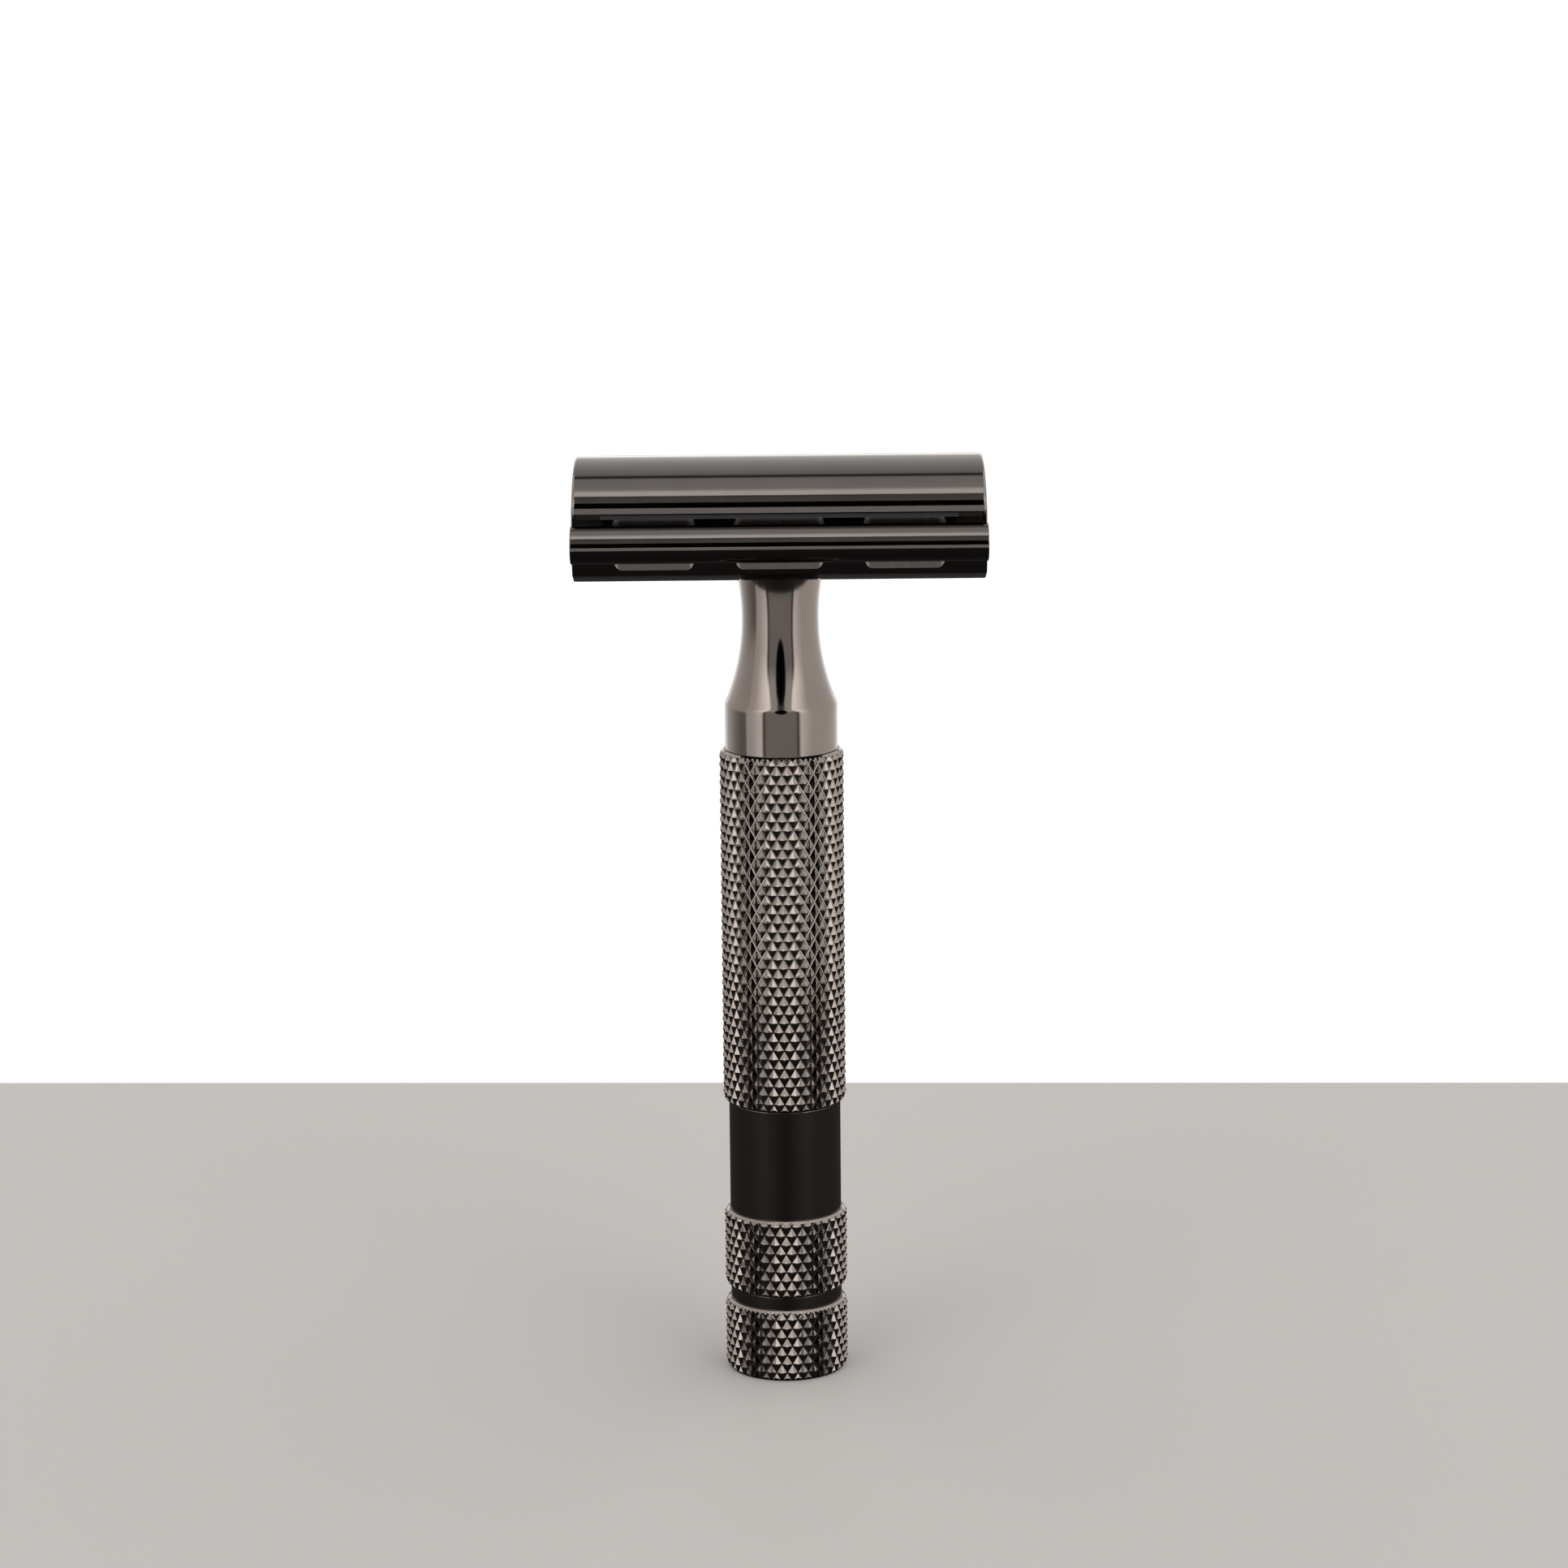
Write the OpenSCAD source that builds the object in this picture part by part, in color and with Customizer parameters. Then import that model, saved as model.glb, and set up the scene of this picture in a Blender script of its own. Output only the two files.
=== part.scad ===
// Three-piece double-edge safety razor, standing on its end knob.
// Millimetres. +Z runs up the handle, +X along the head, and the origin is the
// centre of the knob's underside.

/* [Handle] */
// Diameter of the smooth handle pieces
handle_d = 12.1; // [10:0.1:15]
// How far the knurling stands out from the smooth pieces
knurl_step = 0.65; // [0.5:0.05:1.2]
// Chamfer at the ends of the knurled pieces
knurl_chamfer = 0.5; // [0.2:0.05:0.8]
// Height of the end knob
knob_h = 7.9; // [6:0.1:12]
// Height of the plain spacer above the knob
spacer_h = 1.5; // [0.5:0.1:4]
// Height of the short knurled ring
ring_h = 8.6; // [4:0.1:14]
// Height of the smooth dark band
band_h = 12.2; // [5:0.1:20]
// Height of the long knurled sleeve
grip_h = 38.9; // [25:0.1:60]
// Diameter of the rod that ties the handle together
core_d = 8; // [5:0.1:8.8]
// Clearance all round the rod in the pieces that slide over it
core_clear = 0.05; // [0.02:0.01:0.2]
// Thickness of the knob's closed end
knob_floor = 2; // [1:0.1:4]

/* [Neck] */
// Height of the neck's plain cylinder
collar_h = 4.6; // [4:0.1:8]
// Radius of the shoulder above the collar
shoulder_round = 1.5; // [0.5:0.1:3]
// How steeply the neck leaves the shoulder, in degrees from upright
shoulder_a = 23; // [15:1:35]
// Height from the shoulder to the waist
taper_h = 9; // [6:0.1:14]
// Height from the waist to the seat of the head
flare_h = 4.7; // [3:0.1:8]
// How far the neck flares out above the waist
flare = 0.45; // [0:0.05:1]
// Metal left between the threaded bush and the waist
neck_wall = 0.8; // [0.5:0.05:2]
// Metal left between the tie rod and the bush
neck_web = 7; // [3:0.1:9]

/* [Screw] */
// Outside diameter of the cap's threaded stud
stud_d = 4.9; // [4:0.1:6]
// Clearance all round the stud in its thread
thread_clear = 0.05; // [0.02:0.01:0.1]
// Wall of the threaded bush
bush_wall = 0.8; // [0.5:0.05:1.5]
// Length of thread that holds the head on
engagement = 7; // [4:0.1:10]
// Room below the stud's tip
tip_room = 1; // [0.3:0.1:2]

/* [Base plate] */
// How far the plate's ends stand past the blade's
plate_over = 0.2; // [0:0.05:1]
// How far the safety bars reach past the blade's edges
bar_reach = 2.95; // [2:0.05:4]
// Thickness of the plate at its crown
crown_t = 10.5; // [8:0.1:13]
// Radius that the blade is bent to
bend_r = 22; // [18:0.1:30]
// How far the sides of the bed stand in from the blade's edges, at their foot
bed_inset = 0.95; // [0.8:0.05:2]
// How far the sides of the bed lean in from their foot to the crown's height
bed_draft = 1.9; // [0.5:0.05:2.5]
// Thickness of the flange between the bed and the safety bars
flange_t = 2.4; // [1.5:0.1:3]
// Height of the safety bars
bar_h = 4; // [3:0.1:5]
// Depth of the rounded nose of a safety bar
bar_nose = 2.8; // [2:0.1:4]
// Width of the drain slots, from the safety bars in to the bed
slot_w = 2.2; // [1.5:0.1:2.7]
// Length of the middle drain slots
mid_slot_l = 9.9; // [6:0.1:12]
// Length of the outer drain slots
end_slot_l = 9.1; // [6:0.1:11]
// Distance between the drain slots' centres
slot_pitch = 13.1; // [12:0.1:16]
// Depth of the flat round seats for the neck
seat_depth = 0.45; // [0.3:0.05:1]
// Clearance all round the neck in its seat
seat_clear = 0.45; // [0.2:0.05:1]
// Clearance all round the stud in the plate
stud_clear = 0.2; // [0.1:0.05:0.5]

/* [Cap] */
// How far the cap's ends stand past the blade's
cap_over = 0.1; // [0:0.05:1]
// How far the blade's edges show past the cap
reveal = 0.6; // [0.3:0.05:1]
// Thickness of the cap at its crest
cap_t = 2.3; // [2:0.1:4]
// Depth of the straight land at the cap's edge
cap_land = 0.5; // [0.1:0.05:1.2]
// Diameter of the locating pins
pin_d = 3; // [2:0.1:4]
// Distance between the locating pins
pin_pitch = 22; // [18:0.1:27]
// How deep the locating pins reach into the plate
pin_reach = 4.2; // [2:0.1:6]
// Clearance all round a locating pin in the plate
pin_clear = 0.1; // [0.05:0.05:0.3]
// How deep the stud and the pins sit in the cap
socket_depth = 1.3; // [0.8:0.1:1.6]

/* [Blade] */
// Length of the blade
blade_l = 43; // [36:0.1:52]
// Width of the blade when it is flat
blade_w = 22; // [18:0.1:27]
// Thickness of the blade
blade_t = 0.1; // [0.08:0.01:0.2]
// Length of the tabs at the blade's ends
tab_l = 2.9; // [2:0.1:4]
// Width of the tabs at the blade's ends
tab_w = 12.8; // [10:0.1:16]
// Clearance all round the stud in the blade
blade_stud_clear = 0.65; // [0.2:0.05:1]
// Clearance all round a locating pin in the blade
blade_pin_clear = 0.3; // [0.1:0.05:0.6]
// Width of the slot that joins the holes
blade_slot_w = 1.6; // [1:0.1:2.5]
// Length of the slot that joins the holes
blade_slot_l = 33; // [28:0.1:34]
// Gap left above and below the blade
blade_gap = 0.05; // [0.02:0.01:0.1]

/* [Hidden] */
$fn = 96;
overrun = 1;    // how far a cutting shape runs past the face it cuts
curve_steps = 40;  // straight steps in each worked-out curve
edge_break = 0.1;  // chamfer that takes the sharpness off a plain sleeve's ends
flange_bite = 0.5;  // how far the flange runs into each safety bar

handle_r = handle_d / 2;
knurl_r = handle_r + knurl_step;
core_bore_r = core_d / 2 + core_clear;

spacer_z = knob_h;
ring_z = spacer_z + spacer_h;
band_z = ring_z + ring_h;
grip_z = band_z + band_h;
neck_z = grip_z + grip_h;
collar_z = neck_z + collar_h;
taper_z = collar_z + shoulder_round * sin(shoulder_a);
waist_z = taper_z + taper_h;
seat_z = waist_z + flare_h;

stud_r = stud_d / 2;
bush_bore_r = stud_r + thread_clear;
bush_r = bush_bore_r + bush_wall;
waist_r = bush_r + neck_wall;
neck_top_r = waist_r + flare;
taper_r = handle_r - shoulder_round * (1 - cos(shoulder_a));
taper_power = tan(shoulder_a) * taper_h / (taper_r - waist_r);  // leaves the shoulder smoothly
stud_tip_z = seat_z - engagement;
bush_z = stud_tip_z - tip_room;
core_top_z = bush_z - neck_web;

plate_l = blade_l + 2 * plate_over;
cap_l = blade_l + 2 * cap_over;

edge_y = bend_r * sin(blade_w / 2 / bend_r * 180 / PI);  // the blade's edges, once it is bent
crown_z = seat_z + crown_t - seat_depth;   // top of the bed
mid_z = crown_z - crown_t / 2;             // mirror plane of the plate
bend_z = crown_z - bend_r;                 // axis that the bed, blade and cap are curved about
blade_r = bend_r + blade_gap;
cap_inner_r = blade_r + blade_t + blade_gap;
cap_inner_z = bend_z + cap_inner_r;
crest_z = cap_inner_z + cap_t;
cap_w = 2 * (edge_y - reveal);
lip_z = bend_z + sqrt(pow(cap_inner_r, 2) - pow(cap_w / 2, 2));

bar_y = edge_y + bar_reach - bar_nose;                   // where a bar's nose begins
bed_w = 2 * (edge_y - bed_inset);
slot_y = bar_y - slot_w / 2;

// A solid of revolution from [radius, height] points.
module turned(points) {
    rotate_extrude() polygon(points);
}

// A straight bar along X from [y, z] points.
module along_x(length, points) {
    rotate([90, 0, 90]) linear_extrude(length, center = true) polygon(points);
}

// A cylinder along X.
module x_cylinder(radius, length) {
    rotate([0, 90, 0]) cylinder(r = radius, h = length, center = true);
}

// A sleeve on the handle, chamfered at both ends, with a bore for the tie rod.
module sleeve(z, height, radius, chamfer) {
    translate([0, 0, z]) turned([
        [core_bore_r, 0],
        [radius - chamfer, 0],
        [radius, chamfer],
        [radius, height - chamfer],
        [radius - chamfer, height],
        [core_bore_r, height]
    ]);
}

// A round-ended slot, cut straight through along Z.
module slot(length, width, depth) {
    cube([length - width, width, depth], center = true);
    for (side = [-1, 1])
        translate([side * (length - width) / 2, 0, 0])
            cylinder(d = width, h = depth, center = true);
}

// Outline of the neck from its collar to the seat.
function neck_outline() = concat(
    [for (i = [0 : curve_steps / 8])
        let (a = shoulder_a * i / (curve_steps / 8))
        [handle_r - shoulder_round * (1 - cos(a)), collar_z + shoulder_round * sin(a)]],
    [for (i = [1 : curve_steps])
        let (t = 1 - i / curve_steps)
        [waist_r + (taper_r - waist_r) * pow(t, taper_power), waist_z - taper_h * t]],
    [for (i = [1 : curve_steps / 4])
        let (t = i / (curve_steps / 4))
        [waist_r + flare * t * t, waist_z + flare_h * t]]);

module end_knob() {
    color("dimgray") difference() {
        turned([
            [0, 0],
            [knurl_r - knurl_chamfer, 0],
            [knurl_r, knurl_chamfer],
            [knurl_r, knob_h - knurl_chamfer],
            [knurl_r - knurl_chamfer, knob_h],
            [0, knob_h]
        ]);
        translate([0, 0, knob_floor]) cylinder(r = core_bore_r, h = knob_h);
    }
}

module ring_spacer() {
    color("gray") sleeve(spacer_z, spacer_h, handle_r, edge_break);
}

module grip_ring() {
    color("dimgray") sleeve(ring_z, ring_h, knurl_r, knurl_chamfer);
}

module band_sleeve() {
    color("gray") sleeve(band_z, band_h, handle_r, edge_break);
}

module grip_sleeve() {
    color("dimgray") sleeve(grip_z, grip_h, knurl_r, knurl_chamfer);
}

module core_rod() {
    color("silver") translate([0, 0, knob_floor])
        cylinder(d = core_d, h = core_top_z - knob_floor);
}

module neck() {
    color("gray") difference() {
        turned(concat([[0, neck_z], [handle_r, neck_z]], neck_outline(), [[0, seat_z]]));
        translate([0, 0, neck_z - overrun])
            cylinder(r = core_bore_r, h = core_top_z - neck_z + overrun);
        translate([0, 0, bush_z]) cylinder(r = bush_r, h = seat_z);
    }
}

// The female thread of the handle, pressed into the neck.
module neck_insert() {
    color("silver") translate([0, 0, bush_z]) difference() {
        cylinder(r = bush_r, h = seat_z - bush_z);
        translate([0, 0, -overrun]) cylinder(r = bush_bore_r, h = seat_z - bush_z + 2 * overrun);
    }
}

// Half of a safety bar's section: an elliptical nose in front of a flat inner wall.
function bar_section() = [for (i = [0 : curve_steps / 2])
    let (a = 180 * i / (curve_steps / 2) - 90)
    [bar_y + bar_nose * cos(a), mid_z + bar_h / 2 * sin(a)]];

// What the bed's leaning sides leave of it.
function bed_sides() = [for (corner = [[1, -1], [1, 0], [1, 1], [-1, 1], [-1, 0], [-1, -1]])
    [corner[0] * (bed_w / 2 - bed_draft * abs(corner[1])), mid_z + corner[1] * crown_t / 2]];

// The same on both faces, so it can be fitted either way up.
module base_plate() {
    color("gray") difference() {
        union() {
            intersection() {
                translate([0, 0, bend_z]) x_cylinder(bend_r, plate_l);
                translate([0, 0, 2 * mid_z - bend_z]) x_cylinder(bend_r, plate_l);
                along_x(plate_l, bed_sides());
            }
            translate([0, 0, mid_z])
                cube([plate_l, 2 * (bar_y + flange_bite), flange_t], center = true);
            for (side = [0, 1])
                mirror([0, side, 0]) along_x(plate_l, bar_section());
        }
        for (side = [-1, 1], column = [-1, 0, 1])
            translate([column * slot_pitch, side * slot_y, mid_z])
                slot(column == 0 ? mid_slot_l : end_slot_l, slot_w, crown_t + overrun);
        translate([0, 0, mid_z])
            cylinder(r = stud_r + stud_clear, h = crown_t + overrun, center = true);
        for (side = [-1, 1])
            translate([side * pin_pitch / 2, 0, mid_z])
                cylinder(r = pin_d / 2 + pin_clear, h = crown_t + overrun, center = true);
        for (side = [0, 1])
            translate([0, 0, mid_z]) mirror([0, 0, side])
                translate([0, 0, crown_t / 2 - seat_depth])
                    cylinder(r = neck_top_r + seat_clear, h = overrun);
    }
}

// A blade, bent over the bed. Its outline is cut straight down.
module blade() {
    color("silver") difference() {
        intersection() {
            translate([0, 0, bend_z]) difference() {
                x_cylinder(blade_r + blade_t, blade_l);
                x_cylinder(blade_r, blade_l + overrun);
            }
            translate([0, 0, crown_z]) cube([blade_l, 2 * edge_y, crown_t], center = true);
        }
        for (end = [-1, 1], side = [-1, 1])
            translate([end * blade_l / 2, side * (tab_w / 2 + blade_w / 2), crown_z])
                cube([2 * tab_l, blade_w, crown_t], center = true);
        translate([0, 0, crown_z]) {
            cylinder(r = stud_r + blade_stud_clear, h = crown_t, center = true);
            for (side = [-1, 1])
                translate([side * pin_pitch / 2, 0, 0])
                    cylinder(d = pin_d + 2 * blade_pin_clear, h = crown_t, center = true);
            slot(blade_slot_l, blade_slot_w, crown_t);
        }
    }
}

// The cap's outside: half an ellipse standing on short straight lands.
function cap_section() = concat(
    [[cap_w / 2, lip_z]],
    [for (i = [0 : curve_steps])
        let (a = 180 * i / curve_steps, base_z = lip_z + cap_land)
        [cap_w / 2 * cos(a), base_z + (crest_z - base_z) * sin(a)]],
    [[-cap_w / 2, lip_z]]);

module cap() {
    color("gray") difference() {
        along_x(cap_l, cap_section());
        translate([0, 0, bend_z]) x_cylinder(cap_inner_r, cap_l + overrun);
        translate([0, 0, bend_z]) cylinder(r = stud_r, h = cap_inner_z + socket_depth - bend_z);
        for (side = [-1, 1])
            translate([side * pin_pitch / 2, 0, bend_z])
                cylinder(d = pin_d, h = cap_inner_z + socket_depth - bend_z);
    }
}

module cap_stud() {
    color("silver") translate([0, 0, stud_tip_z])
        cylinder(r = stud_r, h = cap_inner_z + socket_depth - stud_tip_z);
}

module cap_pin(side) {
    color("silver") translate([side * pin_pitch / 2, 0, crown_z - pin_reach])
        cylinder(d = pin_d, h = cap_inner_z + socket_depth - crown_z + pin_reach);
}

module cap_pin_left() {
    cap_pin(-1);
}

module cap_pin_right() {
    cap_pin(1);
}

end_knob();
ring_spacer();
grip_ring();
band_sleeve();
grip_sleeve();
core_rod();
neck();
neck_insert();
base_plate();
blade();
cap();
cap_stud();
cap_pin_left();
cap_pin_right();
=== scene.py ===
from math import cos, pi, radians, sin, tan

import bpy
from mathutils import Matrix, Vector


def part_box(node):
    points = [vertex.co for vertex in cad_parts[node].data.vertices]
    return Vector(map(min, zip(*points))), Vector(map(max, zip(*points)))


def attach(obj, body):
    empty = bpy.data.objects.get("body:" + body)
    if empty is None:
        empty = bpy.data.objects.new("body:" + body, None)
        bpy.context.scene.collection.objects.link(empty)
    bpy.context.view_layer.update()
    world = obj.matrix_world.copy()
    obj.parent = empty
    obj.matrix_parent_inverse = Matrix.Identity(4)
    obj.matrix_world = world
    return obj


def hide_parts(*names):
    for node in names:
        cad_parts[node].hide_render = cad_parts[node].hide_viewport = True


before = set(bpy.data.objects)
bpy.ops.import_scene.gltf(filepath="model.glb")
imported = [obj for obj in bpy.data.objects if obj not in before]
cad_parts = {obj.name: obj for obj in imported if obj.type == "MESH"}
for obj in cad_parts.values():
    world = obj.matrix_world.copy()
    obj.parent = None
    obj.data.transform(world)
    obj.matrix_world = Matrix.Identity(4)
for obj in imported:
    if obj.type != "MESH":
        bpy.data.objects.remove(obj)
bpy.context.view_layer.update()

# A double-edge safety razor standing on its end knob. Everything is in metres, in the
# frame of the CAD model: +Z up the handle, +X along the head.
MM = 0.001
TURN = 2 * pi


def span(node):
    """The lowest and highest z of a CAD node."""
    low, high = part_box(node)
    return low.z, high.z


def radius(node):
    """Half the width of a round CAD node."""
    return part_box(node)[1].x


# ---------------------------------------------------------------- Camera and studio


CAMERA_LENS = 102.5               # millimetres, on a sensor 36 mm wide
CAMERA_AIM = Vector((0.24 * MM, 0, 65.1 * MM))
CAMERA_DISTANCE = 479.5 * MM
CAMERA_PITCH = radians(11.55)     # how far it looks down
CAMERA_ROLL = radians(-0.55)


def make_camera():
    """Stands in front of the razor and looks down on it a little."""
    data = bpy.data.cameras.new("camera")
    data.sensor_width = 36
    data.lens = CAMERA_LENS
    back = Vector((0, -cos(CAMERA_PITCH), sin(CAMERA_PITCH)))
    camera = bpy.data.objects.new("camera", data)
    camera.matrix_world = (Matrix.Translation(CAMERA_AIM + back * CAMERA_DISTANCE)
                           @ Matrix.Rotation(pi / 2 - CAMERA_PITCH, 4, "X")
                           @ Matrix.Rotation(CAMERA_ROLL, 4, "Z"))
    bpy.context.scene.collection.objects.link(camera)
    bpy.context.scene.camera = camera


# ---------------------------------------------------------------- Shader maths


class Value:
    """A number socket of a node tree. A sum on it adds Math nodes."""

    def __init__(self, nodes, socket):
        self.nodes, self.socket = nodes, socket

    def maths(self, operation, *numbers):
        return self.nodes.add("Math", {"operation": operation}, dict(enumerate(numbers)))

    def __add__(self, other):
        return self.maths("ADD", self, other)

    def __sub__(self, other):
        return self.maths("SUBTRACT", self, other)

    def __rsub__(self, other):
        return self.maths("SUBTRACT", other, self)

    def __mul__(self, other):
        return self.maths("MULTIPLY", self, other)

    def __truediv__(self, other):
        return self.maths("DIVIDE", self, other)

    def __rtruediv__(self, other):
        return self.maths("DIVIDE", other, self)

    def __pow__(self, other):
        return self.maths("POWER", self, other)

    def __abs__(self):
        return self.maths("ABSOLUTE", self)

    __radd__, __rmul__ = __add__, __mul__

    def step(self, low, high):
        """0 below low and 1 above high, with a soft change between them."""
        return self.nodes.add("MapRange", {"interpolation_type": "SMOOTHSTEP"},
                              {"Value": self, "From Min": low, "From Max": high})

    def near(self, centre, reach):
        """1 at centre, falling to 0 at reach on both sides of it."""
        return 1 - abs(self - centre).step(0, reach)


class Nodes:
    """Adds nodes to one node tree."""

    def __init__(self, tree):
        self.tree = tree
        tree.nodes.clear()

    def add(self, kind, settings=(), sockets=(), out=0):
        """Adds a node, with its settings first, and returns one of its outputs."""
        node = self.tree.nodes.new("ShaderNode" + kind)
        for name, setting in dict(settings).items():
            if name == "stops":
                self.set_stops(node.color_ramp, setting)
            else:
                setattr(node, name, setting)
        for name, value in dict(sockets).items():
            if isinstance(value, Value):
                self.tree.links.new(value.socket, node.inputs[name])
            else:
                node.inputs[name].default_value = value
        return Value(self, node.outputs[out] if node.outputs else None)

    def set_stops(self, ramp, stops):
        """Sets a ramp's stops, each a place from 0 to 1 and a grey level or a colour."""
        while len(ramp.elements) < len(stops):
            ramp.elements.new(1)
        for element, (place, level) in zip(ramp.elements, stops):
            element.position = place
            element.color = (*level, 1) if isinstance(level, tuple) else (level, level, level, 1)

    def parts(self, vector):
        """The x, y and z of a vector."""
        node = self.add("SeparateXYZ", sockets={0: vector}).socket.node
        return [Value(self, output) for output in node.outputs]

    def blend(self, factor, first, second):
        """A colour between two colours."""
        return self.add("Mix", {"data_type": "RGBA"}, {0: factor, 6: first, 7: second}, out=2)


# ---------------------------------------------------------------- Studio


# How bright the tent's middle lane is, by degrees from straight ahead in front, up over the roof
# and down behind. Below 0 it is the floor.
LANE = [(-180, 1.3), (-120, 1.3), (-60, 0.1), (-20, 0.5), (8, 0.5), (26, 0.22), (62, 0.17),
        (67, 0.04), (70, 1.35), (84, 1.35), (94, 0.62), (123, 0.5), (126, 0.03), (129, 0.03),
        (132, 0.4), (145, 0.48), (158, 0.56), (170, 0.7), (176, 1.5)]
LANE_BRIGHTEST = 1.5
TENT_WHITE = (1, 0.965, 0.94, 1)
BACKDROP = 1.2         # how bright the tent is to the camera itself
CAMERA_RISE = 16       # degrees up to the camera's body, seen from the razor
CAMERA_HALF_H = 18     # degrees
CAMERA_HALF_W = 0.215  # sine of the angle


def make_world():
    """A white tent: bright walls at the sides and behind, a dimmer roof with a bright front
    edge, and a dim opening in front with the dark camera in it."""
    world = bpy.data.worlds.new("studio")
    world.use_nodes = True
    bpy.context.scene.world = world
    nodes = Nodes(world.node_tree)
    x, y, z = nodes.parts(nodes.add("TexCoord"))
    aside = abs(x)
    over = z.maths("ARCTAN2", z, 0 - y) / radians(1)

    stops = [(degrees / 360 + 0.5, level / LANE_BRIGHTEST) for degrees, level in LANE]
    lane = nodes.add("ValToRGB", {"stops": stops}, {0: over / 360 + 0.5}) * LANE_BRIGHTEST
    opening = 0.75 * aside.step(0.08, 0.16) * over.step(10, 26) * (1 - over.step(62, 70))

    # The walls are brightest where they meet the lane, and the left one has a gap.
    towards_lane = 1 - y.step(-0.95, -0.35)
    left_gap = (1 - x.step(-0.3, 0)) * y.step(-0.28, -0.2) * (1 - y.step(-0.1, 0.95))
    walls = 1.1 + (0.9 + 1.2 * z.step(0, 0.4)) * towards_lane
    walls = walls - (0.75 - 0.5 * z.step(-0.2, 0.1)) * left_gap

    # The lane narrows as it rises, and dark seams join it to the walls in front.
    edge = 0.575 - 0.33 * z.step(0.1, 0.8)
    in_lane = 1 - (aside - edge).step(-0.015, 0.015)
    seam = (aside - edge).near(0, 0.08) * (1 - over.step(15, 30)) * (1 - y.step(-0.2, 0.1))
    light = ((lane + opening) * in_lane + walls * (1 - in_lane)) * (1 - 0.85 * seam)

    camera_body = (aside / CAMERA_HALF_W) ** 2 + ((over - CAMERA_RISE) / CAMERA_HALF_H) ** 2
    table_behind = y.step(0, 0.2) * (1 - z.step(-0.06, 0)) * (1 - aside.step(0.1, 0.2))
    light = light * camera_body.step(0.9, 1.1) * (1 - 0.97 * table_behind)
    to_camera = nodes.add("LightPath")
    light = light * (1 - to_camera) + BACKDROP * to_camera
    background = nodes.add("Background", sockets={"Color": TENT_WHITE, "Strength": light})
    nodes.add("OutputWorld", sockets={"Surface": background})


def make_sheet(name, outline, colour, roughness):
    """A plain flat sheet of the studio."""
    mesh = bpy.data.meshes.new(name)
    mesh.from_pydata(outline, [], [tuple(range(len(outline)))])
    sheet = bpy.data.objects.new(name, mesh)
    bpy.context.scene.collection.objects.link(sheet)
    material = bpy.data.materials.new(name)
    material.use_nodes = True
    nodes = Nodes(material.node_tree)
    finish = nodes.add("BsdfPrincipled", sockets={"Base Color": (*colour, 1),
                                                  "Roughness": roughness})
    nodes.add("OutputMaterial", sockets={"Surface": finish})
    mesh.materials.append(material)
    return sheet


FLOOR_REACH = 0.6    # to either side
FLOOR_NEAR = -0.45
FLOOR_FAR = 0.116    # where the table top ends behind the razor
FLOOR_LEAN = 0.021   # how far that edge is turned, so that the tilted camera sees it level
CARD_R = 0.2
CARD_DROP = 0.5 * MM


def make_stage():
    """A pale table top, and under it a round black one that only reflections see."""
    corners = [(-FLOOR_REACH, FLOOR_NEAR, 0), (FLOOR_REACH, FLOOR_NEAR, 0),
               (FLOOR_REACH, FLOOR_FAR - FLOOR_LEAN, 0), (-FLOOR_REACH, FLOOR_FAR + FLOOR_LEAN, 0)]
    pale = make_sheet("floor", corners, (0.56, 0.55, 0.54), 0.6)
    pale.visible_glossy = False
    rim = [(x, y, -CARD_DROP) for x, y in circle(0, 0, CARD_R)]
    black = make_sheet("black_card", rim, (0.006, 0.005, 0.005), 0.7)
    black.visible_camera = False
    black.visible_shadow = False
    black.visible_diffuse = False


# ---------------------------------------------------------------- Finishes


def finish_material(name):
    """A new material and its empty node tree."""
    material = bpy.data.materials.new(name)
    material.use_nodes = True
    return material, Nodes(material.node_tree)


def close(nodes, **sockets):
    """The metal shader that every finish ends in."""
    names = {name.replace("_", " ").title(): value for name, value in sockets.items()}
    shader = nodes.add("BsdfPrincipled", sockets={"Metallic": 1, **names})
    nodes.add("OutputMaterial", sockets={"Surface": shader})


def noise(nodes, place, scale, detail=2, roughness=0.5):
    """Even, soft noise about 0.5. The scale is in lumps to a metre."""
    return nodes.add("TexNoise", sockets={"Vector": place, "Scale": scale, "Detail": detail,
                                          "Roughness": roughness})


def stretched(nodes, place, stretch):
    """The place, with the pattern drawn out along an axis whose stretch is small."""
    return nodes.add("Mapping", sockets={"Vector": place, "Scale": stretch})


def polished_gunmetal(name, grain, tint):
    """Dark plating over polished metal. The grain says along which axis its polish runs."""
    material, nodes = finish_material(name)
    place = nodes.add("TexCoord", out=3)
    clouds = noise(nodes, place, 260)
    lines = noise(nodes, stretched(nodes, place, grain), 9000, 3)
    pale, dark = [tuple(level * part for part in tint) + (1,) for level in (0.245, 0.205)]
    colour = nodes.blend(clouds, dark, pale)
    rough = 0.05 + 0.05 * clouds + 0.03 * lines
    bump = nodes.add("Bump", sockets={"Strength": 0.05, "Distance": 0.02 * MM, "Height": lines})
    close(nodes, base_color=colour, roughness=rough, normal=bump)
    return material


WEAR_AND_SHADE_DEPTH = 0.12 * MM  # how far down from the knurl's crests the plating is worn pale; deeper down it is coloured darker as painted shade


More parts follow.
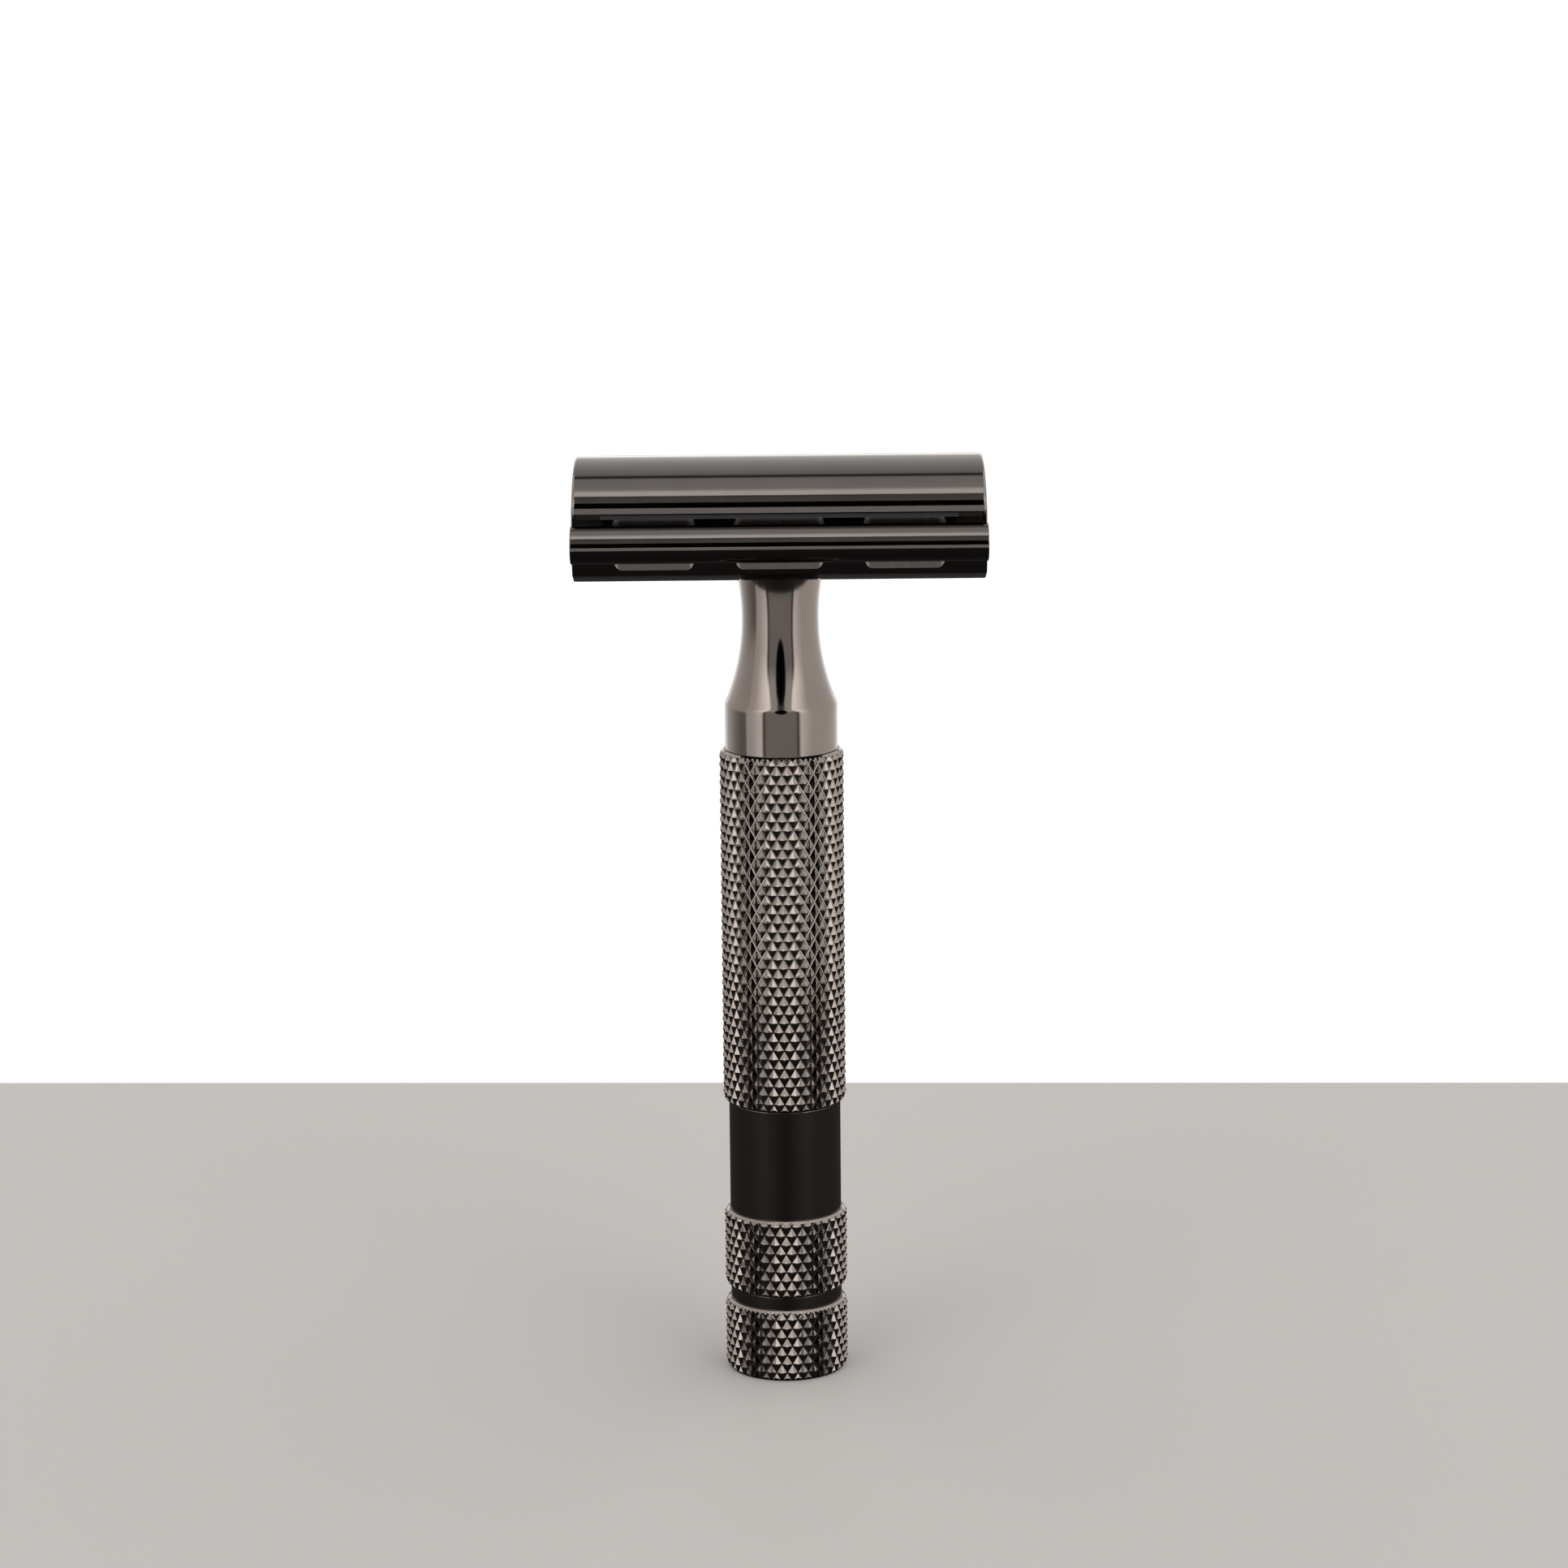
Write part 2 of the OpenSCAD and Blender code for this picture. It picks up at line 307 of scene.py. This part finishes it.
def knurled_gunmetal(crest_r):
    """The same plating, with cutting lines down the facets, wear on the crests and painted shade
    down in the grooves.
    """
    material, nodes = finish_material("knurled_gunmetal")
    place = nodes.add("TexCoord", out=3)
    lines = noise(nodes, stretched(nodes, place, (1, 1, 0.12)), 7000, 4)
    x, y, _ = nodes.parts(place)
    from_axis = (x * x + y * y) ** 0.5
    # The crests are paler with wear. Everything deeper is coloured darker, which is painted shade
    # in the grooves.
    crest_wear_and_groove_shade = from_axis.step(crest_r - WEAR_AND_SHADE_DEPTH, crest_r) * noise(nodes, place, 900).step(0.2, 0.6)
    colour = nodes.blend(crest_wear_and_groove_shade, (0.28, 0.25, 0.23, 1), (0.43, 0.393, 0.366, 1))
    bump = nodes.add("Bump", sockets={"Strength": 0.25, "Distance": 0.02 * MM, "Height": lines})
    close(nodes, base_color=colour, roughness=0.05 + 0.06 * lines, normal=bump)
    return material


def milled_gunmetal_painted_shade():
    """The same plating where a milling cutter left its marks up the walls, coloured a little
    darker than the plating as painted shade in the slots, holes and seats.
    """
    material, nodes = finish_material("milled_gunmetal_painted_shade")
    place = nodes.add("TexCoord", out=3)
    marks = noise(nodes, stretched(nodes, place, (1, 1, 0.08)), 6000, 3)
    clouds = noise(nodes, place, 700)
    # Painted shade: these colours are a little darker than the plating, for the shade inside the
    # slots, holes and seats.
    colour = nodes.blend(clouds, (0.17, 0.158, 0.15, 1), (0.24, 0.224, 0.21, 1))
    bump = nodes.add("Bump", sockets={"Strength": 0.3, "Distance": 0.02 * MM, "Height": marks})
    close(nodes, base_color=colour, roughness=0.22 + 0.15 * marks, normal=bump)
    return material


def bare_steel():
    """Turned steel with a fine grain round it."""
    material, nodes = finish_material("bare_steel")
    place = nodes.add("TexCoord", out=3)
    lines = noise(nodes, stretched(nodes, place, (0.1, 0.1, 1)), 12000, 3)
    colour = nodes.blend(noise(nodes, place, 400), (0.50, 0.48, 0.45, 1), (0.60, 0.58, 0.55, 1))
    bump = nodes.add("Bump", sockets={"Strength": 0.3, "Distance": 0.01 * MM, "Height": lines})
    close(nodes, base_color=colour, roughness=0.2 + 0.12 * lines, normal=bump)
    return material


def blade_steel():
    """Steel with a faint grain along the blade, coloured near black as painted shade, so that it
    reads as the shaded gap under the cap.
    """
    material, nodes = finish_material("blade_steel")
    place = nodes.add("TexCoord", out=3)
    grain = noise(nodes, stretched(nodes, place, (0.03, 1, 1)), 14000, 3)
    # Painted shade: the near-black colour stands in for the shade in the gap under the cap.
    colour = nodes.blend(noise(nodes, place, 500), (0.05, 0.05, 0.055, 1), (0.07, 0.07, 0.075, 1))
    bump = nodes.add("Bump", sockets={"Strength": 0.2, "Distance": 0.005 * MM, "Height": grain})
    close(nodes, base_color=colour, roughness=0.28 + 0.12 * grain, normal=bump)
    return material


# ---------------------------------------------------------------- Solids from code


SMOOTH_SHARP = 14  # corners of a plain piece over this many degrees stay crisp
KNURL_SHARP = 10   # the same for a knurled piece
THREAD_SHARP = 40  # and for a threaded one


def add_piece(name, mesh, body, node, material, sharp_angle=SMOOTH_SHARP):
    """Adds a piece that stands for a CAD node, with smooth faces and sharp corners."""
    for polygon in mesh.polygons:
        polygon.use_smooth = True
    mesh.set_sharp_from_angle(angle=radians(sharp_angle))
    if not mesh.materials:
        mesh.materials.append(material)
    piece = bpy.data.objects.new(name, mesh)
    bpy.context.scene.collection.objects.link(piece)
    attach(piece, body)
    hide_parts(node)
    if sharp_angle == SMOOTH_SHARP:
        piece.modifiers.new("even_shading", "WEIGHTED_NORMAL").keep_sharp = True
    return piece


def new_mesh(name, points, faces):
    """A mesh from points and faces."""
    mesh = bpy.data.meshes.new(name)
    mesh.from_pydata(points, [], faces)
    mesh.update()
    return mesh


def clean(corners):
    """The corners of a face, without those that repeat the one before."""
    return [corner for k, corner in enumerate(corners) if corner != corners[k - 1]]


def lathe(name, outline, steps=128):
    """Turns an outline of (radius, z) points about Z. Points on the axis become one point."""
    points, rings = [], []
    for r, z in outline:
        if r == 0:
            rings.append([len(points)] * steps)
            points.append((0, 0, z))
        else:
            rings.append(list(range(len(points), len(points) + steps)))
            points += [(r * cos(TURN * i / steps), r * sin(TURN * i / steps), z)
                       for i in range(steps)]
    closed = outline[0][0] > 0
    faces = []
    for low, high in zip(rings, rings[1:] + rings[:1] if closed else rings[1:]):
        for i in range(steps):
            j = (i + 1) % steps
            faces.append(clean([low[i], low[j], high[j], high[i]]))
    return new_mesh(name, points, faces)


def rounded(corner, before, after, size, steps=8):
    """Points that round off the corner between two neighbouring points of an outline."""
    corner, before, after = Vector(corner), Vector(before), Vector(after)
    start = corner + (before - corner).normalized() * size
    end = corner + (after - corner).normalized() * size
    points = []
    for i in range(steps + 1):
        t = i / steps
        points.append(tuple(start * (1 - t) ** 2 + corner * 2 * t * (1 - t) + end * t * t))
    return points


def round_outline(outline, size, closed=True):
    """Rounds every corner of an outline, apart from the two ends if it is open."""
    points = []
    for i, corner in enumerate(outline):
        if not closed and i in (0, len(outline) - 1):
            points.append(tuple(corner))
        else:
            points += rounded(corner, outline[i - 1], outline[(i + 1) % len(outline)], size)
    return points


def inset(section, distance):
    """Moves an outline that runs anticlockwise inwards by a distance."""
    points = []
    for i, here in enumerate(section):
        here = Vector(here)
        before = (here - Vector(section[i - 1])).normalized()
        after = (Vector(section[(i + 1) % len(section)]) - here).normalized()
        inwards = Vector((-before.y - after.y, before.x + after.x))
        inwards *= 2 / max(inwards.length_squared, 1)
        points.append(here + inwards * distance)
    return points


def bar(name, section, length, edge, steps=8):
    """A bar along X with an anticlockwise section of (y, z) points and rounded end edges."""
    stations = []
    for i in range(steps + 1):
        turn = pi / 2 * i / steps
        stations.append((length / 2 - edge * (1 - cos(turn)), edge * (1 - sin(turn))))
    stations = [(-x, depth) for x, depth in stations] + [(x, depth) for x, depth in stations[::-1]]
    points = [(x, y, z) for x, depth in stations for y, z in inset(section, depth)]
    count = len(section)
    faces = []
    for k in range(len(stations) - 1):
        for i in range(count):
            j = (i + 1) % count
            faces.append((k * count + i, k * count + j, (k + 1) * count + j, (k + 1) * count + i))
    faces.append(tuple(range(count - 1, -1, -1)))
    faces.append(tuple(range(len(points) - count, len(points))))
    return new_mesh(name, points, faces)


def column(outline, low, high):
    """The points and faces of an upright prism over an anticlockwise (x, y) outline."""
    count = len(outline)
    points = [(x, y, z) for z in (low, high) for x, y in outline]
    faces = [tuple(range(count - 1, -1, -1)), tuple(range(count, 2 * count))]
    faces += [(i, (i + 1) % count, count + (i + 1) % count, count + i) for i in range(count)]
    return points, faces


def circle(x, y, r, steps=64):
    """Points round a circle, anticlockwise."""
    return [(x + r * cos(TURN * i / steps), y + r * sin(TURN * i / steps)) for i in range(steps)]


def long_hole(x, y, length, width, steps=16):
    """The outline of a slot with round ends."""
    half, r = (length - width) / 2, width / 2
    right = [(x + half + r * sin(pi * i / steps), y - r * cos(pi * i / steps))
             for i in range(steps + 1)]
    left = [(2 * x - right_x, 2 * y - right_y) for right_x, right_y in right]
    return right + left


def cut(mesh, outlines, low, high):
    """Cuts upright prisms out of a mesh. They must stand clear of one another. The new faces
    take the last of the mesh's finishes."""
    points, faces = [], []
    for outline in outlines:
        more_points, more_faces = column(outline, low, high)
        faces += [tuple(len(points) + c for c in face) for face in more_faces]
        points += more_points
    solid = bpy.data.objects.new("solid", mesh)
    cutter = bpy.data.objects.new("cutter", new_mesh("cutter", points, faces))
    for finish in mesh.materials:
        cutter.data.materials.append(finish)
    for polygon in cutter.data.polygons:
        polygon.material_index = max(0, len(mesh.materials) - 1)
    for thing in (solid, cutter):
        bpy.context.scene.collection.objects.link(thing)
    modifier = solid.modifiers.new("cut", "BOOLEAN")
    modifier.operation, modifier.solver, modifier.object = "DIFFERENCE", "EXACT", cutter
    bpy.context.view_layer.update()
    seen = solid.evaluated_get(bpy.context.evaluated_depsgraph_get())
    result = bpy.data.meshes.new_from_object(seen)
    result.name = mesh.name
    for thing in (solid, cutter):
        bpy.data.objects.remove(thing)
    return result


# ---------------------------------------------------------------- Knurled pieces


KNURL_ROUND = 34            # diamonds round a piece
KNURL_HEIGHT = 2.01 * MM    # height of one diamond
KNURL_DEPTH = 0.3 * MM      # depth of the grooves
KNURL_TOP = 0.05            # share of a facet that is worn off at the points
KNURL_FLOOR = 0.125         # share of a facet that the flat floor of a groove takes
KNURL_CELLS = 8             # grid steps in half a diamond
KNURL_CHAMFER = 0.5 * MM    # chamfer at the ends of a knurled piece
CORE_CLEARANCE = 0.05 * MM  # gap between the tie rod and the pieces round it


def knurl_depth(step_round, height):
    """How deep the knurl is at a step round the piece and a height."""
    across = step_round / (2 * KNURL_CELLS)
    up = height / KNURL_HEIGHT
    grooves = [abs(2 * ((turn % 1) - 0.5)) for turn in (across + up, across - up)]
    down = (max(grooves) - KNURL_TOP) / (1 - KNURL_TOP - KNURL_FLOOR)
    return KNURL_DEPTH * min(1, max(0, down))


def knurled(name, low, high, outer, inside):
    """A knurled cylinder with chamfered ends, closed by an inside outline that runs from its
    upper end to its lower one."""
    columns = KNURL_ROUND * 2 * KNURL_CELLS
    count = round((high - low) * 2 * KNURL_CELLS / KNURL_HEIGHT)
    points, rings = [], []

    def ring(r, z, cut_in):
        rings.append(list(range(len(points), len(points) + columns)))
        for i in range(columns):
            here = min(r, outer - knurl_depth(i, z - low)) if cut_in else r
            points.append((here * cos(TURN * i / columns), here * sin(TURN * i / columns), z))

    for i in range(count + 1):
        z = low + (high - low) * i / count
        ring(outer - KNURL_CHAMFER + min(z - low, high - z, KNURL_CHAMFER), z, True)
    for r, z in inside:
        if r == 0:
            rings.append([len(points)] * columns)
            points.append((0, 0, z))
        else:
            ring(r, z, False)

    def reach(corner):
        return Vector(points[corner]).xy.length

    faces = []
    for k, low_ring in enumerate(rings):
        high_ring = rings[(k + 1) % len(rings)]
        for i in range(columns):
            j = (i + 1) % columns
            face = clean([low_ring[i], low_ring[j], high_ring[j], high_ring[i]])
            if k < count:
                # Each cell is split along its more level diagonal, to keep crests and grooves.
                a, b, c, d = face
                if abs(reach(a) - reach(c)) <= abs(reach(b) - reach(d)):
                    faces += [(a, b, c), (a, c, d)]
                else:
                    faces += [(a, b, d), (b, c, d)]
            elif len(face) > 2:
                faces.append(face)
    return new_mesh(name, points, faces)


def make_knurled_pieces(finish):
    """The grip, the ring above the knob and the end knob, bored for the tie rod."""
    bore = radius("core_rod") + CORE_CLEARANCE
    for name, node in (("grip_knurl", "grip_sleeve"), ("ring_knurl", "grip_ring")):
        low, high = span(node)
        mesh = knurled(name, low, high, radius(node), [(bore, high), (bore, low)])
        add_piece(name, mesh, "handle", node, finish, KNURL_SHARP)
    low, high = span("end_knob")
    floor = span("core_rod")[0]
    inside = [(bore, high), (bore, floor), (0, floor), (0, low)]
    mesh = knurled("knob_knurl", low, high, radius("end_knob"), inside)
    add_piece("knob_knurl", mesh, "handle", "end_knob", finish, KNURL_SHARP)


# ---------------------------------------------------------------- Turned pieces


EDGE = 0.1 * MM          # how much the corners of plain pieces are eased
COLLAR_H = 4.6 * MM      # height of the neck's plain cylinder
SHOULDER_ROUND = 1.5 * MM
SHOULDER_TILT = radians(23)
SHOULDER_STEPS = 8
TAPER_H = 9 * MM         # from the shoulder to the waist
TAPER_STEPS = 60
WAIST_R = 4.1 * MM
FLARE = 0.45 * MM        # how far the neck flares out above its waist
FLARE_STEPS = 16
THREAD_PITCH = 0.8 * MM
THREAD_DEPTH = 0.4 * MM
THREAD_LEAD = 0.4 * MM   # size of the chamfer that leads the stud into its bush
RING_STEPS = 10          # rings to one turn of the thread
PIN_ROUND = 0.4 * MM     # rounding of a pin's tip
ROD_ROUND = 0.5 * MM


def make_sleeves(finish):
    """The smooth band and the spacer."""
    bore = radius("core_rod") + CORE_CLEARANCE
    for name, node in (("dark_band", "band_sleeve"), ("plain_spacer", "ring_spacer")):
        low, high = span(node)
        outer = radius(node)
        square = [(bore, low), (outer, low), (outer, high), (bore, high)]
        mesh = lathe(name, round_outline(square, EDGE))
        add_piece(name, mesh, "handle", node, finish)


def make_neck(finish):
    """The collar, its shoulder, the taper to the waist and the flare under the head."""
    low, seat = span("neck")
    outer = radius("neck")
    bore, core_top = radius("core_rod") + CORE_CLEARANCE, span("core_rod")[1]
    bush, bush_low = radius("neck_insert"), span("neck_insert")[0]
    collar = low + COLLAR_H
    taper = collar + SHOULDER_ROUND * sin(SHOULDER_TILT)
    taper_r = outer - SHOULDER_ROUND * (1 - cos(SHOULDER_TILT))
    power = tan(SHOULDER_TILT) * TAPER_H / (taper_r - WAIST_R)
    waist = taper + TAPER_H
    outline = [(0, core_top), (bore, core_top), (bore, low)]
    outline += rounded((outer, low), (bore, low), (outer, collar), EDGE)
    for i in range(SHOULDER_STEPS + 1):
        turn = SHOULDER_TILT * i / SHOULDER_STEPS
        outline.append((outer - SHOULDER_ROUND * (1 - cos(turn)),
                        collar + SHOULDER_ROUND * sin(turn)))
    for i in range(1, TAPER_STEPS + 1):
        left = 1 - i / TAPER_STEPS
        outline.append((WAIST_R + (taper_r - WAIST_R) * left ** power, waist - TAPER_H * left))
    for i in range(1, FLARE_STEPS + 1):
        up = i / FLARE_STEPS
        outline.append((WAIST_R + FLARE * up * up, waist + (seat - waist) * up))
    outline += [(bush, seat), (bush, bush_low), (0, bush_low)]
    mesh = lathe("neck_shell", outline, 192)
    add_piece("neck_shell", mesh, "handle", "neck", finish)


def threaded(name, low, high, thread_high, outer):
    """A rod with a right-hand thread up to a height, and a coned tip."""
    steps = 64
    count = round((thread_high - low) * RING_STEPS / THREAD_PITCH)
    rings = [[0] * steps]
    points = [(0, 0, low)]
    for k in range(count + 1):
        z = low + (thread_high - low) * k / count
        rings.append(list(range(len(points), len(points) + steps)))
        for i in range(steps):
            # The groove's sides slope, and its floor and the crest are narrow flats.
            place = (z / THREAD_PITCH - i / steps) % 1
            groove = max(0, min(1, 1.25 - 2.5 * abs(place - 0.5)))
            fade = min(1, (thread_high - z) / THREAD_PITCH)
            r = min(outer - THREAD_DEPTH * groove * fade, outer - THREAD_DEPTH + (z - low))
            points.append((r * cos(TURN * i / steps), r * sin(TURN * i / steps), z))
    rings.append(list(range(len(points), len(points) + steps)))
    points += [(x, y, high) for x, y in circle(0, 0, outer, steps)]
    rings.append([len(points)] * steps)
    points.append((0, 0, high))
    faces = []
    for below, above in zip(rings, rings[1:]):
        for i in range(steps):
            j = (i + 1) % steps
            faces.append(clean([below[i], below[j], above[j], above[i]]))
    return new_mesh(name, points, faces)


def make_screw_parts(steel):
    """The stud, its bush, the pins and the tie rod."""
    low, high = span("cap_stud")
    mesh = threaded("stud_thread", low, high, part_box("base_plate")[1].z, radius("cap_stud"))
    add_piece("stud_thread", mesh, "cap", "cap_stud", steel, THREAD_SHARP)
    for name, node in (("left_pin", "cap_pin_left"), ("right_pin", "cap_pin_right")):
        (west, _, low), (east, _, high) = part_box(node)
        r = (east - west) / 2
        outline = [(0, low)] + rounded((r, low), (0, low), (r, high), PIN_ROUND)
        outline += [(r, high), (0, high)]
        mesh = lathe(name, outline, 48)
        mesh.transform(Matrix.Translation(((west + east) / 2, 0, 0)))
        add_piece(name, mesh, "cap", node, steel)
    low, high = span("neck_insert")
    outer, bore = radius("neck_insert"), radius("cap_stud") + CORE_CLEARANCE
    outline = [(outer, low)] + rounded((outer, high), (outer, low), (bore, high), EDGE)
    outline += [(bore + THREAD_LEAD, high), (bore, high - THREAD_LEAD), (bore, low)]
    mesh = lathe("thread_bush", outline, 96)
    add_piece("thread_bush", mesh, "handle", "neck_insert", steel)
    low, high = span("core_rod")
    outer = radius("core_rod")
    ends = [(0, low), (outer, low), (outer, high), (0, high)]
    mesh = lathe("tie_rod", round_outline(ends, ROD_ROUND, closed=False), 96)
    add_piece("tie_rod", mesh, "handle", "core_rod", steel)


# ---------------------------------------------------------------- Head


BEND_R = 22 * MM          # radius that the bed, the blade and the cap are curved to
BLADE_GAP = 0.05 * MM     # gap on either side of the blade
BAR_NOSE = 2.8 * MM       # depth of a safety bar's rounded nose
BAR_H = 4 * MM
BED_HALF_W = 9.597 * MM   # half the bed's width at the plate's middle
BED_DRAFT = 1.9 * MM      # how far the bed's sides lean in by the crown's height
FLANGE_T = 2.4 * MM
SLOT_W = 2.2 * MM
SLOT_BITE = 0.01 * MM     # how far a slot marks the inner wall of its safety bar
SLOT_PITCH = 13.1 * MM
SLOT_LENGTHS = (9.1 * MM, 9.9 * MM, 9.1 * MM)
SEAT_DEPTH = 0.45 * MM
SEAT_CLEARANCE = 0.45 * MM
STUD_CLEARANCE = 0.2 * MM
PIN_CLEARANCE = 0.1 * MM
CAP_LAND = 0.5 * MM       # height of the straight land at the cap's edge
CAP_END_ROUND = 0.35 * MM
PLATE_EDGE = 0.2 * MM     # how much the plate's long corners are eased
PLATE_END_ROUND = 0.1 * MM
BED_STEPS = 24
NOSE_STEPS = 24
CAP_STEPS = 96
BEND_STEPS = 48           # across the blade


def arc(r, centre_z, low_y, high_y, steps):
    """Points on the top of a circle, from one y to another."""
    ys = [low_y + (high_y - low_y) * i / steps for i in range(steps + 1)]
    return [(y, centre_z + (r * r - y * y) ** 0.5) for y in ys]


def crown():
    """The height of the bed's highest line."""
    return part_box("base_plate")[1].z


def pins():
    """How far the pins stand from the middle, and their radius."""
    west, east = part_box("cap_pin_right")
    return (west.x + east.x) / 2, (east.x - west.x) / 2


def make_cap(finish):
    """A half ellipse over short straight lands, hollowed to the blade's curve."""
    low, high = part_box("cap")
    bend_z = crown() - BEND_R
    inner = BEND_R + 2 * BLADE_GAP + BLADE_T
    edge_y, base = high.y, low.z + CAP_LAND
    underside = arc(inner, bend_z, -edge_y, edge_y, 32)
    section = underside[:-1] + [(edge_y, low.z)]
    for i in range(CAP_STEPS + 1):
        turn = pi * i / CAP_STEPS
        section.append((edge_y * cos(turn), base + (high.z - base) * sin(turn)))
    mesh = bar("cap_shell", section, high.x - low.x, CAP_END_ROUND)
    add_piece("cap_shell", mesh, "cap", "cap", finish)


def plate_section(low, high):
    """The section through the plate's bed, flange and safety bars, anticlockwise."""
    middle = (low.z + high.z) / 2
    half = (high.z - low.z) / 2
    bar_y = high.y - BAR_NOSE

    def side_y(up):
        return BED_HALF_W - BED_DRAFT * up / half

    def bed_z(across):
        return half - BEND_R + (BEND_R ** 2 - across ** 2) ** 0.5

    # The bed's curve and its leaning side meet where each gives the other's point.
    corner_y = side_y(half)
    for _ in range(20):
        corner_y = side_y(bed_z(corner_y))
    bed = [(corner_y * i / BED_STEPS, bed_z(corner_y * i / BED_STEPS))
           for i in range(BED_STEPS + 1)]
    foot = (side_y(FLANGE_T / 2), FLANGE_T / 2)
    quarter = bed[:-1] + rounded(bed[-1], bed[-2], foot, PLATE_EDGE)
    quarter += rounded(foot, bed[-1], (bar_y, FLANGE_T / 2), EDGE)
    quarter += rounded((bar_y, FLANGE_T / 2), foot, (bar_y, BAR_H / 2), EDGE)
    turns = [pi / 2 * i / NOSE_STEPS for i in range(NOSE_STEPS + 1)]
    nose = [(bar_y + BAR_NOSE * sin(turn), BAR_H / 2 * cos(turn)) for turn in turns]
    quarter += rounded(nose[0], (bar_y, 0), (high.y, BAR_H / 2), PLATE_EDGE)
    quarter += [place for place in nose if place[0] > bar_y + PLATE_EDGE]
    right = quarter + [(y, -z) for y, z in quarter[-2::-1]]
    left = [(-y, z) for y, z in right[-2:0:-1]]
    return [(y, middle + z) for y, z in (right + left)[::-1]]


def make_plate(finish, milled_and_shaded):
    """The plate is the same on both faces, so that either can carry the blade."""
    low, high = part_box("base_plate")
    mesh = bar("plate_body", plate_section(low, high), high.x - low.x, PLATE_END_ROUND)
    # The cut faces of the slots, holes and seats take the second finish, which is darker as
    # painted shade.
    for each in (finish, milled_and_shaded):
        mesh.materials.append(each)
    slot_w = SLOT_W + SLOT_BITE
    slot_y = high.y - BAR_NOSE + SLOT_BITE - slot_w / 2
    pin_x, pin_r = pins()
    holes = [circle(0, 0, radius("cap_stud") + STUD_CLEARANCE)]
    holes += [circle(x, 0, pin_r + PIN_CLEARANCE) for x in (-pin_x, pin_x)]
    for side in (-slot_y, slot_y):
        holes += [long_hole((i - 1) * SLOT_PITCH, side, length, slot_w)
                  for i, length in enumerate(SLOT_LENGTHS)]
    mesh = cut(mesh, holes, low.z - MM, high.z + MM)
    seat = circle(0, 0, WAIST_R + FLARE + SEAT_CLEARANCE, 96)
    mesh = cut(mesh, [seat], low.z - MM, low.z + SEAT_DEPTH)
    mesh = cut(mesh, [seat], high.z - SEAT_DEPTH, high.z + MM)
    add_piece("plate_body", mesh, "plate", "base_plate", finish)


BLADE_T = 0.1 * MM
BLADE_GRIND = 1.1 * MM    # width of the ground edges
BLADE_TIP = 0.08          # share of the thickness that is left at the very edge
BLADE_END_ROUND = 0.002 * MM
BLADE_TAB_L = 2.9 * MM    # length and width of the narrow tab at each end
BLADE_TAB_W = 12.8 * MM
BLADE_SLOT = (33 * MM, 1.6 * MM)
BLADE_STUD_R = 3.1 * MM
BLADE_PIN_R = 1.8 * MM


def make_blade(finish):
    """A thin blade, bent over the bed, with ground edges and its pattern of holes."""
    low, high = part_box("blade")
    bend_z = crown() - BEND_R
    edge_y = high.y
    r = BEND_R + BLADE_GAP
    under = arc(r, bend_z, -edge_y, edge_y, BEND_STEPS)
    over = []
    for y, z in under[::-1]:
        share = min(1, (edge_y - abs(y)) / BLADE_GRIND)
        grow = (r + BLADE_T * (BLADE_TIP + (1 - BLADE_TIP) * share)) / r
        over.append((max(-edge_y, min(edge_y, y * grow)), bend_z + (z - bend_z) * grow))
    mesh = bar("blade_body", under + over, high.x - low.x, BLADE_END_ROUND, 1)
    tab_y = BLADE_TAB_W / 2
    corners = []
    for end in (-1, 1):
        for side in (-1, 1):
            west, east = sorted((end * (high.x - BLADE_TAB_L), end * (high.x + MM)))
            south, north = sorted((side * tab_y, side * (edge_y + MM)))
            corners.append([(west, south), (east, south), (east, north), (west, north)])
    deep, tall = low.z - MM, high.z + MM
    mesh = cut(mesh, corners + [long_hole(0, 0, *BLADE_SLOT)], deep, tall)
    pin_x, _ = pins()
    holes = [circle(0, 0, BLADE_STUD_R, 48)]
    holes += [circle(x, 0, BLADE_PIN_R, 48) for x in (-pin_x, pin_x)]
    mesh = cut(mesh, holes, deep, tall)
    add_piece("blade_body", mesh, "blade", "blade", finish)


def make_all():
    """The studio, then every piece of the razor."""
    make_camera()
    make_world()
    make_stage()
    along_z = polished_gunmetal("polished_gunmetal_turned", (1, 1, 0.05), (1, 0.88, 0.81))
    along_x = polished_gunmetal("polished_gunmetal_head", (0.05, 1, 1), (1, 0.93, 0.88))
    knurling = knurled_gunmetal(radius("grip_sleeve"))
    steel = bare_steel()
    make_knurled_pieces(knurling)
    make_sleeves(along_z)
    make_neck(along_z)
    make_screw_parts(steel)
    make_plate(along_x, milled_gunmetal_painted_shade())
    make_cap(along_x)
    make_blade(blade_steel())


make_all()
bpy.context.scene.view_settings.view_transform = "Standard"
